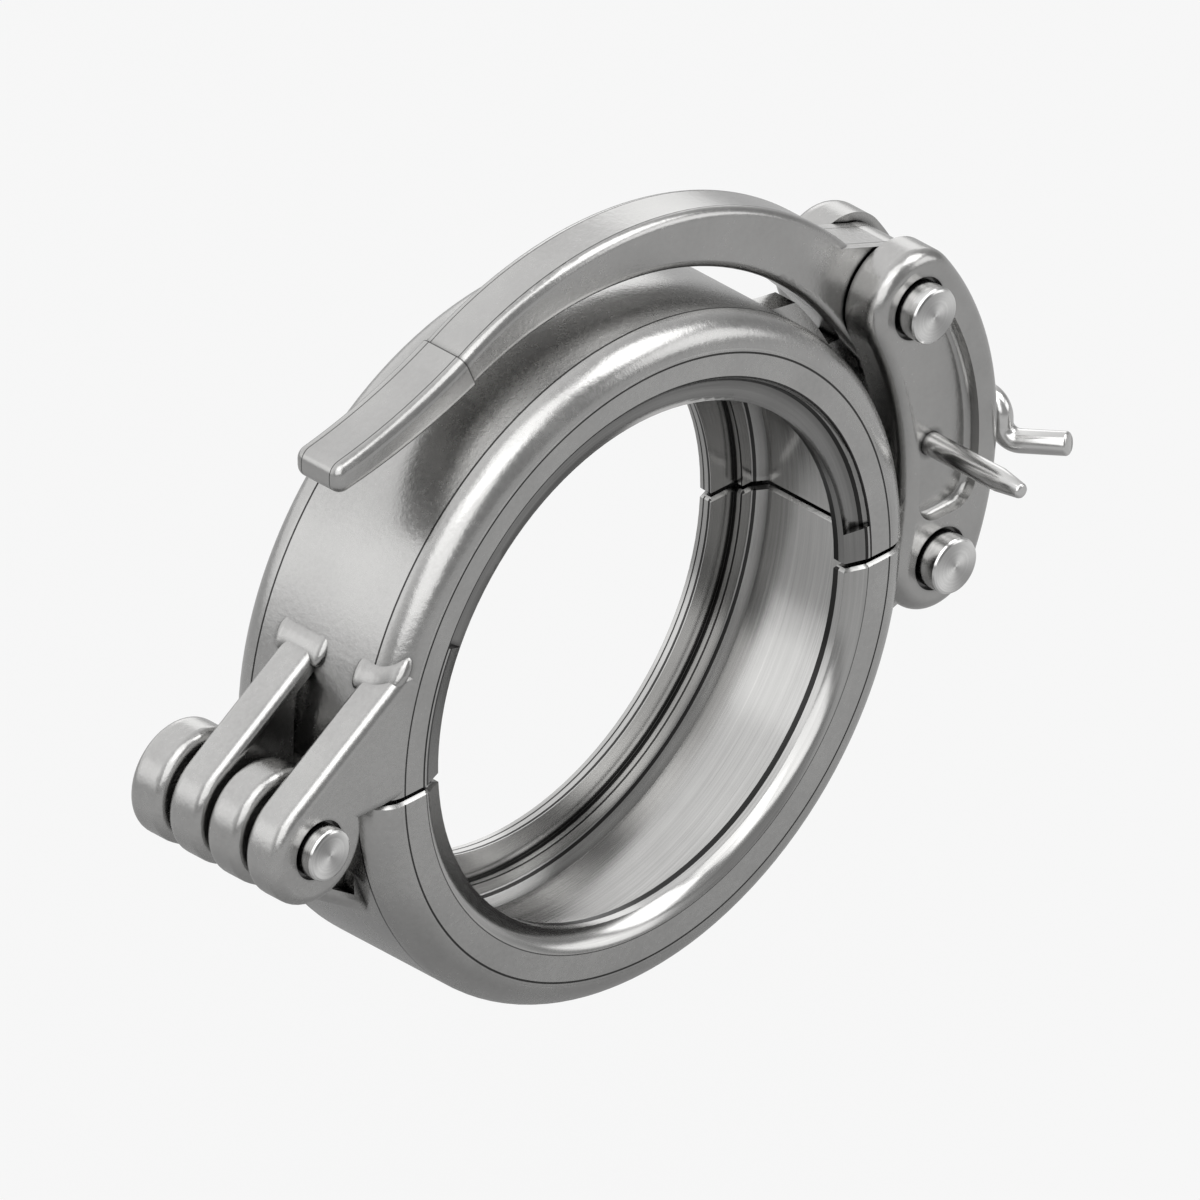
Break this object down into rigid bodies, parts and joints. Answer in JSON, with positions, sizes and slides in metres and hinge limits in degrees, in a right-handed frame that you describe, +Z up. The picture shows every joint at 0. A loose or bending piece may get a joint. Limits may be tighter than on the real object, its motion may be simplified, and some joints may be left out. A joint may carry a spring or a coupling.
{
  "type": "split pipe coupling",
  "caption": "Hinged split ring coupling for collared pipe ends, closed by a curved over-centre lever with two link plates and held by a bent safety pin.",
  "frame": {"origin": "centre of the pipe bore, at the middle of the ring's width", "axes": "+Y along the pipe axis to the rear, +X from the bore to the latch, +Z up"},
  "size_m": [0.2746, 0.0776, 0.2024],
  "materials": {
    "cast_body": "satin cast steel, fine orange-peel skin outside, machined inside",
    "forged_lever": "satin forged steel",
    "forged_link": "satin forged steel with bright rounded edges",
    "turned_pin": "turned bright steel",
    "drawn_rod": "bright drawn steel rod"
  },
  "bodies": {
    "upper_body": {"upper_half": "cast_body", "hinge_pin": "turned_pin", "lever_pivot_pin": "turned_pin"},
    "lower_body": {"lower_half": "cast_body"},
    "lever_arm": {"lever": "forged_lever"},
    "links": {"front_link_plate": "forged_link", "rear_link_plate": "forged_link", "upper_link_pin": "turned_pin", "lower_link_pin": "turned_pin"},
    "safety": {"safety_pin": "drawn_rod"}
  },
  "joints": [
    {"name": "lever_swing", "type": "hinge", "parent": "upper_body", "child": "lever_arm", "pos_m": [0.10546, 0, 0.03834], "axis": [0, 1, 0], "range_deg": [0, 120]},
    {"name": "body_hinge", "type": "hinge", "parent": "upper_body", "child": "lower_body", "pos_m": [-0.113, 0, -0.004], "axis": [0, 1, 0], "range_deg": [0, 5.5]},
    {"name": "link_swing", "type": "hinge", "parent": "lever_arm", "child": "links", "pos_m": [0.102, 0, 0.056], "axis": [0, -1, 0], "range_deg": [0, 105]},
    {"name": "safety_pull", "type": "slide", "parent": "links", "child": "safety", "axis": [0, 1, 0], "range_m": [0, 0.07]}
  ],
  "couplings": [
    {"joint": "body_hinge", "follows": "lever_swing", "ratio": 0.045},
    {"joint": "link_swing", "follows": "lever_swing", "ratio": 0.87}
  ]
}
